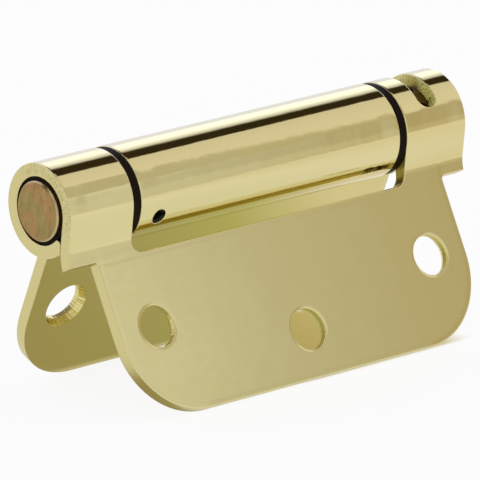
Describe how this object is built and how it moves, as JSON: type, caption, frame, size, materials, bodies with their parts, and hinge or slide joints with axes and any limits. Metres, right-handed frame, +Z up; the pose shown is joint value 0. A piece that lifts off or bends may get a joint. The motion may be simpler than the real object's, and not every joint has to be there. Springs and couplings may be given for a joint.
{
  "type": "self-closing door hinge",
  "caption": "Spring butt hinge with rounded leaves, a barrel of curled knuckles around a torsion spring, countersunk screw holes and a slot for setting the closing tension.",
  "frame": {"origin": "on the ground under the pin axis, halfway along the hinge, with the hinge standing on the free edges of its two leaves", "axes": "+X along the barrel from the plug end to the tension adjuster, +Y from the frame leaf to the door leaf, +Z up"},
  "size_m": [0.1024, 0.0438, 0.0492],
  "materials": {
    "brass_plate": "steel sheet with bright polished brass plate",
    "plug_steel": "dull mottled copper-brown plating",
    "black_pin": "black oxide",
    "nylon": "black moulded nylon",
    "adjuster_steel": "dull yellow plating",
    "spring_steel": "oiled dark spring wire"
  },
  "bodies": {
    "frame_side": {"frame_leaf": "brass_plate", "plug_bearing": "nylon", "adjuster_bearing": "nylon"},
    "door_side": {"door_leaf": "brass_plate", "pivot_plug": "plug_steel", "cross_pin": "black_pin", "torsion_spring": "spring_steel"},
    "adjuster": {"tension_adjuster": "adjuster_steel"}
  },
  "joints": [
    {"name": "leaf_pivot", "type": "hinge", "parent": "frame_side", "child": "door_side", "pos_m": [0, 0, 0.03989], "axis": [1, 0, 0], "range_deg": [-50.1, 129.9], "stiffness_Nm_per_rad": 0.8, "deforming": ["torsion_spring"]},
    {"name": "adjuster_turn", "type": "hinge", "parent": "frame_side", "child": "adjuster", "pos_m": [0, 0, 0.03989], "axis": [1, 0, 0], "range_deg": [-300, 0], "deforming": ["torsion_spring"]}
  ]
}
